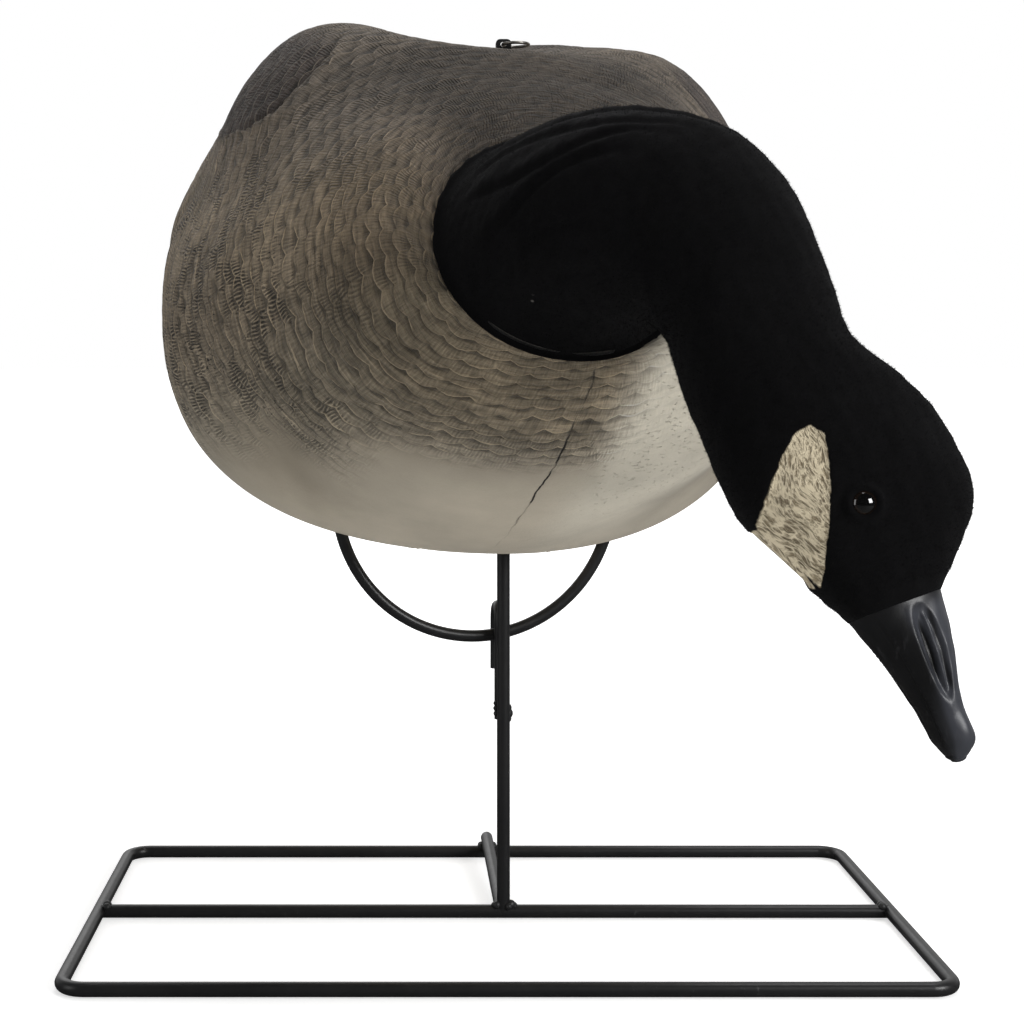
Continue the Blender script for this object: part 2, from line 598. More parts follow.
def body_rows(n):
    """Section rows evenly spaced along the body, neck opening first."""
    tt = np.linspace(0, 10, 2001)
    rr = spline(np.arange(11), STATIONS, tt)
    # spacing follows the upper and lower outline together
    a = np.radians(rr[:, 2])
    top = np.stack([rr[:, 0] - rr[:, 3] * np.sin(a), rr[:, 1] + rr[:, 3] * np.cos(a)], 1)
    bot = np.stack([rr[:, 0] + rr[:, 4] * np.sin(a), rr[:, 1] - rr[:, 4] * np.cos(a)], 1)
    step = (np.linalg.norm(np.diff(top, axis=0), axis=1)
            + np.linalg.norm(np.diff(bot, axis=0), axis=1)
            + 0.8 * np.abs(np.diff(rr[:, 5])))
    cum = np.concatenate([[0], np.cumsum(step)])
    tq = np.interp(np.linspace(0, cum[-1], n), cum, tt)
    return spline(np.arange(11), STATIONS, tq)[::-1]


def body_points(rows, phi, shrink=0.0):
    r0 = rows[:, None, :]
    s0, z0, al, rt, rb, w, nt, nb, hm, l0 = [r0[..., i] for i in range(10)]
    t = np.radians(al)
    sp, cp = np.sin(phi)[None, :], np.cos(phi)[None, :]
    b = np.where(cp > 0, rt, rb)
    n = np.where(cp > 0, nt, nb)
    r = ((np.abs(sp) / w) ** n + (np.abs(cp) / b) ** n) ** (-1 / n)
    a = np.abs(np.degrees(np.arctan2(sp, cp)))
    h = hm * (np.exp(-((a - WING[0]) / WING[1]) ** 2)
              - WING[2] * np.exp(-(a / WING[3]) ** 2)
              - WING[4] * np.exp(-((a - WING[5]) / WING[6]) ** 2))
    r = r * (1 + h) - shrink
    up = r * cp
    return s0 - up * np.sin(t), l0 + r * sp + 0 * up, z0 + up * np.cos(t)


rows = body_rows(NU)
# rounded tail edge
cap = []
for j in range(1, 9):
    th = j / 8 * math.pi / 2
    q = rows[-1].copy()
    q[0] -= 4.0 * math.sin(th)
    for i in (3, 4):
        q[i] *= max(math.cos(th), 0.02)
    q[5] -= 4.0 * (1 - math.cos(th))
    cap.append(q)
rows = np.vstack([rows, cap])
phi = np.arange(NV) / NV * 2 * math.pi
S, L, Z = body_points(rows, phi)
P = to_world(S, L, Z)
Nrm = grid_normals(P, 1.0)
centre = to_world(rows[:, 0], rows[:, 9], rows[:, 1])[:, None, :]
if np.mean(np.sum((P - centre) * Nrm, axis=2)) < 0:
    Nrm = -Nrm

# distance from the neck opening along the skin
F = np.concatenate([np.zeros((1, NV)),
                    np.cumsum(np.linalg.norm(np.diff(P, axis=0), axis=2), axis=0)])
RAD = np.linalg.norm(P - centre, axis=2)
deg = np.degrees(phi)
AB = np.abs(deg - 180.0)[None, :] + 0 * F          # angle up from the belly line
SIDE = np.sign(np.sin(phi))[None, :] + 0 * F       # +1 on the bird's left
seam_top = RAD * np.abs(np.radians(np.minimum(deg, 360 - deg)))[None, :]
seam_bot = RAD * np.abs(np.radians(deg - 180.0))[None, :]
SEAM = np.minimum(seam_top, seam_bot)
SEAM_S = RAD * np.sin(phi)[None, :]

warp = 3.2 * wave_noise(P, 95, 3) + 1.3 * wave_noise(P, 38, 4)
FW = F + warp * sstep(F, 6, 40)
FR = np.log((K_W0 + K_W1 * np.maximum(FW, -60)) / K_W0) / K_W1
KMAX = float(np.ceil(FR.max()))

belly = np.maximum(sstep(AB, 54, 34) * sstep(F, 74, 100),
                   sstep(AB, 72, 50) * sstep(F, 120, 160))
l_breast = sstep(L, 4, 34) * sstep(F, 205, 115) * sstep(AB, 114, 80)
M_ROW = (1 - belly) * (1 - 0.88 * l_breast)
flank = sstep(AB, 40, 62) * sstep(AB, 128, 96) * sstep(F, 60, 110) * sstep(F, 330, 250)
M_BARB = np.clip(0.45 + 0.75 * flank + 0.15 * wave_noise(P, 60, 8), 0, 1.2) * M_ROW
M_BARB = M_BARB * (1 - 0.65 * sstep(F, 92, 60) * sstep(AB, 84, 58))
M_STIP = l_breast * (1 - 0.4 * sstep(F, 60, 160))
M_SEAM = np.where(seam_bot < seam_top,
                  sstep(F, 165, 110) * (0.55 + 0.40 * sstep(F, 50, 80)) + 0.12,
                  0.40 * sstep(F, 70, 40) + 0.10)

DARK = np.array([0.064, 0.053, 0.045])
BACK = np.array([0.124, 0.101, 0.077])
SIDEC = np.array([0.196, 0.155, 0.105])
LOW = np.array([0.156, 0.131, 0.092])
CREAM = np.array([0.47, 0.435, 0.355])
BELLY = np.array([0.412, 0.366, 0.288])
TOPC = np.array([0.0485, 0.0375, 0.0268])


def lerp(a, b, t):
    return a + (b - a) * t[..., None]


T = lerp(np.broadcast_to(LOW, P.shape), SIDEC, sstep(AB, 58, 84))
T = lerp(T, BACK, sstep(AB, 95, 130))
T = lerp(T, DARK, sstep(AB, 110, 150) * sstep(F, 210, 300))
T = lerp(T, TOPC, sstep(AB, 122, 146) * sstep(F, 150, 95))
near_f = np.interp(AB, [16, 50, 76, 115, 180], [1.13, 0.90, 0.64, 0.98, 0.85])[..., None]
T = T * (1 + (near_f * np.array([1.0, 0.96, 0.90]) - 1) * sstep(F, 92, 38)[..., None])
# the folded wing's edge: the wing lies behind and above the flank
FOLD_A = np.array([20.0, 28, 32, 40, 46, 53, 56, 60, 64, 72])
FOLD_F = np.array([205.0, 178, 157, 141, 138, 137, 143, 162, 228, 420])
a_top = 180 - AB
f_line = np.interp(a_top, FOLD_A, FOLD_F) + 2.0 * wave_noise(P, 40, 61)
fold_w = sstep(a_top, 31, 42) * sstep(a_top, 72, 62)
behind = sstep(F - f_line, -1.5, 3.0) * fold_w
WING_D = behind * sstep(F, 430, 330)
T = lerp(T, DARK * np.array([0.66, 0.60, 0.62]), 0.85 * WING_D)
shade = np.exp(-(np.maximum(F - f_line, 0) / 4.0) ** 1.2) * (F > f_line) * fold_w
T = T * (1 - 0.45 * shade[..., None])
T = T * (1 + 0.10 * wave_noise(P, 70, 12)[..., None])
c_belly = np.maximum(sstep(AB, 58, 22) * sstep(F, 60, 125),
                     0.8 * sstep(AB, 84, 36) * sstep(F, 130, 230))
c_breast = sstep(L, 2, 28) * sstep(F, 240, 120) * sstep(AB, 116, 80)
c_tail = sstep(AB, 96, 60) * sstep(F, 330, 420)
CM = np.clip(np.maximum(np.maximum(c_belly, c_breast), c_tail), 0, 1)
CREAM_AT = lerp(np.broadcast_to(BELLY, P.shape), CREAM, c_breast)
T = T * (1 - CM[..., None]) + CREAM_AT * CM[..., None]
E = np.clip(T * np.array([2.5, 2.4, 2.2]) + 0.03, 0, 0.62)
E = lerp(E, np.array([0.20, 0.165, 0.125]), WING_D)

# the edge under the lap of flock is black with glue and fibre
glue = sstep(F, 3.4, 2.2)[..., None]
T = T * (1 - glue) + 0.0045 * glue
E = E * (1 - glue) + 0.0045 * glue

# relief of the feather rows, the neck lip and the parting line
def n_of_k(k):
    return np.floor(np.minimum(np.minimum(32 + 1.6 * k, 72), 12 + 1.6 * (KMAX - k)))


def tip_distance(fr, ph):
    k0 = np.floor(fr)

    def cell(k):
        xt = ph * n_of_k(k) + (k * 0.618034) % 1.0 + 0.5
        return xt % 1.0 - 0.5
    x0, x1 = cell(k0), cell(k0 + 1)
    d0 = k0 + 1 - 4 * A_SCALLOP * x0 ** 2 - fr
    d1 = k0 + 2 - 4 * A_SCALLOP * x1 ** 2 - fr
    return np.where(d0 > 0, d0, d1)


PHC = (phi / (2 * math.pi))[None, :] + 0 * F
D = tip_distance(FR, PHC)
row_mm = K_W0 + K_W1 * F
H = blur((1 - D / 1.5) * row_mm / 9.0, 1) * 1.9 * M_ROW
H -= 1.1 * M_ROW * row_mm / 9.0
H -= 1.6 * sstep(AB, 120, 150) * sstep(F, 105, 150)
# long soft waves that run with the rows
H += 0.7 * np.sin(FW / 15.0 + 1.6 * wave_noise(P, 120, 21)) * M_ROW * sstep(F, 20, 60)
# lip round the neck opening
lip_at = 0.15 + 0.85 * sstep(AB, 70, 110) * (SIDE < 0)
lip = np.exp(-((F - 6.8) / 1.9) ** 2) * (0.8 + 0.5 * wave_noise(P, 30, 5)) * lip_at
H += lip
H -= 2.6 * shade
H += 1.1 * np.exp(-((F - f_line + 5.0) / 6.0) ** 2) * fold_w
H -= 0.30 * np.exp(-(SEAM / 1.4) ** 2) * M_SEAM * sstep(F, 1, 6)
H *= sstep(F, -2, 2)
H = np.minimum(H, 0.10 + 3.0 * sstep(F, 3.0, 8.0))
H -= 1.0 * sstep(F, 4.2, 1.2)
ZB = Z
axial = np.hypot(S, L)
near_top = (ZB > PZ) & (axial < GROMMET_R + 9)
H = np.where(near_top, H * sstep(axial, GROMMET_R, GROMMET_R + 8), H)


def slot_distance(s, l):
    dl = np.maximum(np.abs(l) - (SLOT_L - SLOT_W) / 2, 0)
    return np.hypot(dl, s) - SLOT_W / 2


SD = slot_distance(S, L)
near_slot = (ZB < PZ - 80) & (SD < 10)
H = np.where(near_slot, H * sstep(SD, 0.5, 8), H)
P2 = P + Nrm * H[..., None]

# tail feather tips
tailw = sstep(S, -296, -329)
tx = (L / 13.5 + 0.5) % 1.0 - 0.5
ds = -(6.5 * (1 - (2 * np.abs(tx)) ** 2) + 9.0 * np.cos(np.clip(L / 56.0, -1.5, 1.5)))
P2 = P2 + FWD * (ds * tailw)[..., None]

# openings: snap the edge of the grid to the liner and the grommet
cut_slot = (ZB < PZ - 80) & (SD < 0)
cut_hole = (ZB > PZ) & (axial < GROMMET_R)
CUT = cut_slot | cut_hole


def snapped():
    Q = P2.copy()
    # slot: push inside points of the rim out to the outline
    sx = np.where(np.abs(L) > (SLOT_L - SLOT_W) / 2,
                  np.sign(L) * (SLOT_L - SLOT_W) / 2, L)
    vx, vs = L - sx, S
    n = np.maximum(np.hypot(vx, vs), 1e-6)
    nl = np.where(cut_slot, sx + vx / n * SLOT_W / 2, L)
    ns = np.where(cut_slot, vs / n * SLOT_W / 2, S)
    m = np.maximum(axial, 1e-6)
    nl = np.where(cut_hole, L / m * GROMMET_R, nl)
    ns = np.where(cut_hole, S / m * GROMMET_R, ns)
    move = FWD * (ns - S)[..., None] + LEFT * (nl - L)[..., None]
    Q += np.where(CUT[..., None], move, 0)
    return Q


P3 = snapped()
NR = P3.shape[0]
INN = 5
Pin = P - Nrm * WALL
# the shell's edge stays under the lap of flock
P3[0] += 0.75 * (P3[1] - P3[0])
Pin[0] += 0.75 * (Pin[1] - Pin[0])


def half(name, cols, mat):
    """One half shell: outer skin, inner skin, rims at the opening."""
    idx = np.array(cols) % NV
    m = len(idx)
    V = P3[:, idx].reshape(-1, 3)
    ph = PHC[:, idx].copy()
    if cols[-1] == NV:
        ph[:, -1] = 1.0
    cut = CUT[:, idx]
    faces = []
    ii, jj = np.meshgrid(np.arange(NR - 1), np.arange(m - 1), indexing="ij")
    a, b, c, d = ii * m + jj, ii * m + jj + 1, (ii + 1) * m + jj + 1, (ii + 1) * m + jj
    gone = (cut[:-1, :-1].astype(int) + cut[:-1, 1:] + cut[1:, :-1] + cut[1:, 1:]) >= 4
    q = np.stack([a, b, c, d], -1)[~gone]
    p0 = V[q[:, 0]]
    fn = np.cross(V[q[:, 1]] - p0, V[q[:, 3]] - p0)
    if np.mean(np.sum(fn * Nrm[:, idx].reshape(-1, 3)[q[:, 0]], 1)) < 0:
        q = q[:, ::-1]
    faces += q.tolist()
    at = {
        "fr": FR[:, idx].ravel(), "ph": ph.ravel(),
        "m_row": M_ROW[:, idx].ravel(), "m_barb": M_BARB[:, idx].ravel(),
        "m_stip": M_STIP[:, idx].ravel(), "seam": SEAM_S[:, idx].ravel(),
        "m_wing": WING_D[:, idx].ravel(),
        "m_seam": M_SEAM[:, idx].ravel(),
    }
    tint, et = T[:, idx].reshape(-1, 3), E[:, idx].reshape(-1, 3)
    # inner skin, coarser
    ri = list(range(0, NR - 30, INN))
    ci = list(range(0, m - 1, INN)) + [m - 1]
    base = len(V)
    Vi = Pin[np.ix_(ri, idx[ci])].reshape(-1, 3)
    cuti = cut[np.ix_(ri, ci)]
    mi = len(ci)
    ii, jj = np.meshgrid(np.arange(len(ri) - 1), np.arange(mi - 1), indexing="ij")
    a, b = ii * mi + jj, ii * mi + jj + 1
    c, d = (ii + 1) * mi + jj + 1, (ii + 1) * mi + jj
    gi = cuti[:-1, :-1] | cuti[:-1, 1:] | cuti[1:, :-1] | cuti[1:, 1:]
    qi = (np.stack([a, d, c, b], -1)[~gi] + base)
    faces += qi.tolist()
    V = np.vstack([V, Vi])
    # rim at the neck opening
    base2 = len(V)
    rim = Pin[0, idx]
    V = np.vstack([V, rim])
    for j in range(m - 1):
        faces.append([j, base2 + j, base2 + j + 1, j + 1])
    extra = len(Vi) + m
    for k in at:
        at[k] = np.concatenate([at[k], np.zeros(extra)])
    tint = np.vstack([tint, np.tile([0.10, 0.095, 0.085], (extra, 1))])
    et = np.vstack([et, np.tile([0.12, 0.11, 0.10], (extra, 1))])
    tint[-m:] = 0.0045
    et[-m:] = 0.0045
    ob = new_mesh(name, V, faces, at, {"tint": tint, "edge_tint": et})
    ob.data.materials.append(mat)
    return ob


plum_l = plumage_material("plumage_left_paint", KMAX)
plum_r = plumage_material("plumage_right_paint", KMAX)
sh_l = half("shell_left_plumage", list(range(0, NVH)), plum_l)
sh_r = half("shell_right_plumage", list(range(NVH - 1, NV + 1)), plum_r)
for o, node, sl in ((sh_l, "body_shell_left", "plumage_left"),
                    (sh_r, "body_shell_right", "plumage_right")):
    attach(o, "decoy")
    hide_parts(node)


# ------------------------------------------------------------- neck and head
def frames(secs):
    ins = np.array([s_[0] for s_ in secs], float)
    outs = np.array([s_[1] for s_ in secs], float)
    bs = [s_[2] for s_ in secs]
    cs = (ins + outs) / 2
    tan = np.gradient(cs, axis=0)
    res = []
    for i in range(len(secs)):
        e = outs[i] - ins[i]
        a = np.linalg.norm(e) / 2
        e = e / (2 * a)
        t = tan[i] - e * np.dot(tan[i], e)
        t /= np.linalg.norm(t)
        res.append((cs[i], e, a, np.cross(e, t), bs[i]))
    return res


def ring_of(fr, ph, power=2.15, shrink=0.0):
    c_, e, a, q, b = fr
    a, b = a - shrink, b - shrink
    cp, sp = np.cos(ph), np.sin(ph)
    r = ((np.abs(cp) / a) ** power + (np.abs(sp) / b) ** power) ** (-1 / power)
    return c_ + np.outer(r * cp, e) + np.outer(r * sp, q)


def tube(secs, n):
    """Rows through a list of point rings, evenly spaced."""
    secs = np.array(secs)
    c = secs.mean(1)
    x = np.concatenate([[0], np.cumsum(np.linalg.norm(np.diff(c, axis=0), axis=1))])
    dense = np.linspace(0, x[-1], 400)
    cc = spline(x, c, dense)
    cum = np.concatenate([[0], np.cumsum(np.linalg.norm(np.diff(cc, axis=0), axis=1))])
    xq = np.interp(np.linspace(0, cum[-1], n), cum, dense)
    return spline(x, secs, xq), xq, x


NN = 270
NM = 216
PHN = np.arange(NM) / NM * 2 * math.pi
nf = frames(NECK + BILL[:1])[:-1]
s_, l_, z_ = body_points(STATIONS[-1:], PHN)
ring0 = to_world(s_, l_, z_)[0] + RING_N * 0.3
secs = [ring0] + [ring_of(f, PHN) for f in nf]
NP, nx, nk = tube(secs, NN)
NC = NP.mean(1)
NNrm = grid_normals(NP)
if np.mean(np.sum((NP - NC[:, None]) * NNrm, axis=2)) < 0:
    NNrm = -NNrm
PHG = PHN[None, :] + np.zeros((NN, 1))
ALONG = nx[:, None] + np.zeros((1, NM))


def poly_distance(x, z, poly):
    """Signed distance to a closed outline, negative inside."""
    poly = np.array(poly, float)
    best = np.full(x.shape, 1e9)
    inside = np.zeros(x.shape, bool)
    for i in range(len(poly)):
        (x1, y1), (x2, y2) = poly[i], poly[(i + 1) % len(poly)]
        dx, dy = x2 - x1, y2 - y1
        t = np.clip(((x - x1) * dx + (z - y1) * dy) / (dx * dx + dy * dy + 1e-9), 0, 1)
        best = np.minimum(best, np.hypot(x - x1 - t * dx, z - y1 - t * dy))
        cross = ((y1 > z) != (y2 > z)) & (x < (x2 - x1) * (z - y1) / (y2 - y1 + 1e-12) + x1)
        inside ^= cross
    return np.where(inside, -best, best)


# cheek patch outline on the head's right side, seen from the front viewpoint
# and given in mm at the head; the left side mirrors it
CHEEK = [(130.6, -22.1), (134.9, -24.8), (136.2, -33.3), (136.9, -41.9),
         (136.4, -51.7), (135.4, -60.3), (134.8, -67.6), (133.4, -73.4),
         (129.3, -70.6), (122.0, -65.2), (116.5, -60.9), (113.6, -57.4),
         (113.4, -53.6), (115.8, -46.8), (118.9, -38.2), (122.6, -29.7),
         (126.2, -24.2)]
mirror = (-np.arange(NM)) % NM
near = np.where(np.sin(PHG)[..., None] <= 0, NP, NP[:, mirror])
VA = (near[..., 0] + 52.9) / (near[..., 1] + 870.0) * 560.0
VB = (near[..., 2] - 275.0) / (near[..., 1] + 870.0) * 560.0
CD = poly_distance(VA, VB, CHEEK)
CD = np.where(near[..., 1] > -255, 9.0, CD)
CMASK = sstep(CD, 0.8, -0.8)

EYES = [mid_mm("eye_right"), mid_mm("eye_left")]
HN = np.zeros((NN, NM))
# creases that fan out from the fold of the neck, and soft lengthwise folds
fold = np.zeros((NN, NM))
for (u0, p0, u1, p1, w_, am) in (
        (20, 268, 62, 292, 5.0, 1.5), (14, 285, 66, 306, 4.5, 1.2),
        (12, 302, 70, 322, 4.5, 1.0), (10, 318, 74, 338, 5.0, 0.9),
        (26, 250, 58, 262, 4.5, 1.2), (30, 232, 60, 240, 5.0, 0.9)):
    pa, pb = np.array([u0, p0]), np.array([u1, p1])
    rad = np.linalg.norm(NP - NC[:, None], axis=2)
    px_, py_ = ALONG, np.degrees(PHG)
    t = np.clip((px_ - u0) / (u1 - u0), 0, 1)
    pc = p0 + (p1 - p0) * t + 4 * np.sin(t * 5 + p0)
    dd = np.radians(py_ - pc) * rad
    taper = sstep(px_, u0 - 8, u0 + 10) * sstep(px_, u1 + 12, u1 - 10)
    fold += -am * np.exp(-(dd / (w_ * 0.45)) ** 2) * taper
    fold += am * 0.55 * np.exp(-((dd - w_) / w_) ** 2) * taper
HN += fold
HN += 0.35 * wave_noise(NP, 26, 31) + 0.18 * wave_noise(NP, 9, 32)
HN *= sstep(ALONG, 0, 8)
HN = HN * (1 - CMASK) - 0.75 * CMASK
for e_ in EYES:
    de = np.linalg.norm(NP - e_, axis=2)
    HN += 1.5 * np.exp(-((de - 6.0) / 1.1) ** 2) - 0.5 * sstep(de, 5.0, 3.0)
HN *= 1 - 0.7 * sstep(ALONG, nx[-1] - 3, nx[-1])
NP2 = NP + NNrm * HN[..., None]


def collar_row(back, lift, seed):
    """A row of flock lying on the body skin, back of the opening."""
    jit = 1 + 0.30 * wave_noise(ring0, 6.0, seed)
    out = np.empty_like(ring0)
    for j_ in range(NM):
        row_ = spline(np.arange(11), STATIONS, np.array([10 - back * jit[j_]]))
        a_, b_, c_ = body_points(row_, PHN[j_:j_ + 1])
        out[j_] = to_world(a_, b_, c_)[0, 0]
    rr_ = out - ring0.mean(0)
    rr_ -= np.outer(rr_ @ RING_N, RING_N)
    return out + rr_ / np.linalg.norm(rr_, axis=1, keepdims=True) * lift


LAP = [collar_row(0.105, 0.10, 71), collar_row(0.085, 1.35, 71),
       collar_row(0.035, 1.60, 72)]
NP2[0] += (NP[0] - NC[0]) / np.linalg.norm(NP[0] - NC[0], axis=1, keepdims=True) * 1.1
NP2[1] += (NP[1] - NC[1]) / np.linalg.norm(NP[1] - NC[1], axis=1, keepdims=True) * 0.6
NP2[2] += (NP[2] - NC[2]) / np.linalg.norm(NP[2] - NC[2], axis=1, keepdims=True) * 0.25
bend = 38.0 + 30.0 * sstep(VB, -60, -28)
cb, sb = np.cos(np.radians(bend)), np.sin(np.radians(bend))
CFR = (VA - 126) * cb - (VB + 46) * sb + 1.2 * wave_noise(NP, 12, 41)
CPH = (VA - 126) * sb + (VB + 46) * cb + 0.9 * wave_noise(NP, 10, 42)


def tube_faces(n, m, flip=False, off=0):
    ii, jj = np.meshgrid(np.arange(n - 1), np.arange(m), indexing="ij")
    j2 = (jj + 1) % m
    a, b, c, d = ii * m + jj, ii * m + j2, (ii + 1) * m + j2, (ii + 1) * m + jj
    q = np.stack([a, b, c, d], -1).reshape(-1, 4) + off
    return (q[:, ::-1] if flip else q).tolist()


def orient(P_, N_, n, m):
    p0 = P_[0, 0]
    fn = np.cross(P_[0, 1] - p0, P_[1, 0] - p0)
    return float(np.dot(fn, N_[0, 0])) < 0


flip = orient(NP2, NNrm, NN, NM)
NP2 = np.concatenate([np.array(LAP), NP2])
NNrm = np.concatenate([np.repeat(NNrm[:1], 3, axis=0), NNrm])
CD = np.concatenate([np.full((3, NM), 9.0), CD])
CFR = np.concatenate([np.repeat(CFR[:1], 3, axis=0), CFR])
CPH = np.concatenate([np.repeat(CPH[:1], 3, axis=0), CPH])
NN += 3
V = NP2.reshape(-1, 3)
faces = tube_faces(NN, NM, flip)
c_end, c_start = len(V), len(V) + 1
V = np.vstack([V, NP2[-1].mean(0), NP2[0].mean(0) + RING_N * 0.4])
for j in range(NM):
    j2 = (j + 1) % NM
    a, b = (NN - 1) * NM + j, (NN - 1) * NM + j2
    faces.append([b, a, c_end] if flip else [a, b, c_end])
    faces.append([j, j2, c_start] if flip else [j2, j, c_start])
flock = flock_material("black_flocking")
neck = new_mesh("neck_head_flocked", V, faces, {
    "cheek": np.append(CD.ravel(), [9, 9]), "cfr": np.append(CFR.ravel(), [1, 1]),
    "cph": np.append(CPH.ravel(), [1, 1])})
neck.data.materials.append(flock)
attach(neck, "head")
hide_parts("neck_head")

# flock pile: short fibres standing off the skin
NF = 52000
ai = RNG.integers(0, NN - 1, NF)
aj = RNG.integers(0, NM, NF)
u_, v_ = RNG.random(NF)[:, None], RNG.random(NF)[:, None]
aj2 = (aj + 1) % NM
base_p = ((NP2[ai, aj] * (1 - u_) + NP2[ai + 1, aj] * u_) * (1 - v_)
          + (NP2[ai, aj2] * (1 - u_) + NP2[ai + 1, aj2] * u_) * v_)
keep = (CD[ai, aj] > 0.3)
for e_ in EYES:
    keep &= np.linalg.norm(base_p - e_, axis=1) > 6.2
keep &= ai < NN - 6
base_p, bn = base_p[keep], NNrm[ai, aj][keep]
nfib = len(base_p)
dirn = bn + RNG.normal(0, 0.42, (nfib, 3))
dirn /= np.linalg.norm(dirn, axis=1, keepdims=True)
side = np.cross(dirn, RNG.normal(size=(nfib, 3)))
side /= np.linalg.norm(side, axis=1, keepdims=True)
ln = RNG.uniform(0.45, 1.05, (nfib, 1))
V = np.empty((nfib, 3, 3))
V[:, 0] = base_p - side * 0.07
V[:, 1] = base_p + side * 0.07
V[:, 2] = base_p + dirn * ln
pile = new_mesh("neck_flock_pile", V.reshape(-1, 3),
                np.arange(nfib * 3).reshape(-1, 3).tolist(), {
    "cheek": np.full(nfib * 3, 9.0), "cfr": np.ones(nfib * 3), "cph": np.ones(nfib * 3)},
    smooth=False)
pile.data.materials.append(flock)
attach(pile, "head")

# ---------------------------------------------------------------------- bill
BN = 190
BM = 168
PHB = np.arange(BM) / BM * 2 * math.pi
bf = frames(NECK[-1:] + BILL)[1:]
secs = [ring_of(nf[-1], PHB, 2.15, 0.15)] + [ring_of(f, PHB, 2.2) for f in bf]
last = secs[-1]
lc = last.mean(0)
tipdir = unit(last.mean(0) - secs[-2].mean(0))
BP, bx, bk = tube(secs, BN)
tip_rows = []
for j in range(1, 9):
    th = j / 8 * math.pi / 2
    tip_rows.append(lc + (last - lc) * max(math.cos(th), 0.03) + tipdir * 1.6 * math.sin(th))
BP = np.concatenate([BP, np.array(tip_rows)])
bxx = np.concatenate([bx, bx[-1] + np.linspace(0.2, 1.6, 8)])
BNR = len(BP)
BNrm = grid_normals(BP)
BC = BP.mean(1)
if np.mean(np.sum((BP - BC[:, None]) * BNrm, axis=2)) < 0:
    BNrm = -BNrm
U = (bxx / bxx[-1])[:, None] + np.zeros((1, BM))
PB = np.degrees(PHB)[None, :] + 0 * U
BR = np.linalg.norm(BP - BC[:, None], axis=2)


def ang(a, b):
    return (a - b + 180) % 360 - 180


HB = np.zeros_like(U)
PIT = np.zeros_like(U)
for sgn in (1, -1):
    # nostril recess on each side near the culmen, with a bar across it
    pc = 360 - 90 if sgn > 0 else 90
    du = (U - 0.33) * bxx[-1]
    dphi = sgn * np.radians(ang(PB, pc)) * BR + 0.05 * du
    wdt = 4.5 - 0.07 * du
    ell = np.sqrt((du / 15.5) ** 2 + (dphi / wdt) ** 2)
    rec = sstep(ell, 1.06, 0.70)
    HB -= 1.55 * rec
    HB += 0.18 * np.exp(-((ell - 1.13) / 0.13) ** 2) * (dphi < 0)
    bar = np.exp(-((dphi - 0.7 + 0.02 * du) / 0.70) ** 2) * sstep(np.abs(du), 14, 10)
    HB += 1.15 * bar * rec
    ell2 = np.sqrt(((du + 0.5) / 10.0) ** 2 + ((dphi + 1.35) / 1.35) ** 2)
    pit = sstep(ell2, 1.15, 0.55)
    HB -= 1.1 * pit
    groove = np.exp(-((dphi - 2.9 + 0.04 * du) / 0.75) ** 2) * sstep(np.abs(du + 1), 15, 11)
    PIT = np.maximum(PIT, np.maximum(pit, 0.85 * groove))
    # cutting edge of the bill and its comb
    pc2 = 360 - 150 if sgn > 0 else 150
    dl = np.radians(ang(PB, pc2)) * BR
    HB -= 0.45 * np.exp(-(dl / 0.55) ** 2) * sstep(U, 0.03, 0.12) * sstep(U, 0.93, 0.82)
    comb = 0.5 + 0.5 * np.sin(U * bxx[-1] * 2 * math.pi / 1.7)
    HB -= 0.16 * comb * np.exp(-((dl - 1.3) / 0.9) ** 2) * sstep(U, 0.1, 0.2) * sstep(U, 0.8, 0.7)
nail_e = np.sqrt(((1 - U) * bxx[-1] / 9.5) ** 2 + (np.radians(ang(PB, 0)) * BR / 4.4) ** 2)
NAIL = sstep(nail_e, 1.0, 0.85)
HB += 0.35 * NAIL - 0.28 * np.exp(-((nail_e - 1.04) / 0.09) ** 2)
UPPER = (sstep(np.abs(ang(PB, 0)), 122, 100) * sstep(U, -0.02, 0.10)
         + 0.5 * sstep(np.abs(ang(PB, 0)), 150, 110) * sstep(U, 0.45, 0.8)).clip(0, 1)
HB += 0.10 * wave_noise(BP, 7, 51)
HB *= sstep(U, 0.0, 0.06)
BP2 = BP + BNrm * HB[..., None]
flip = orient(BP2, BNrm, BNR, BM)
V = BP2.reshape(-1, 3)
faces = tube_faces(BNR, BM, flip)
ce = len(V)
V = np.vstack([V, BP2[-1].mean(0), BP2[0].mean(0)])
for j in range(BM):
    j2 = (j + 1) % BM
    a, b = (BNR - 1) * BM + j, (BNR - 1) * BM + j2
    faces.append([b, a, ce] if flip else [a, b, ce])
    faces.append([j, j2, ce + 1] if flip else [j2, j, ce + 1])
bill = new_mesh("bill_gloss", V, faces, {
    "nail": np.append(NAIL.ravel(), [1, 0]), "pit": np.append(PIT.ravel(), [0, 0]),
    "upper": np.append(UPPER.ravel(), [1, 0])})
bill.data.materials.append(bill_material("bill_gloss_black"))
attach(bill, "head")
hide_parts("bill")


# ------------------------------------------------------- carried-over hardware
def finish_node(node, mat):
    o = frame["nodes"][node]
    o.data.materials.clear()
    o.data.materials.append(mat)


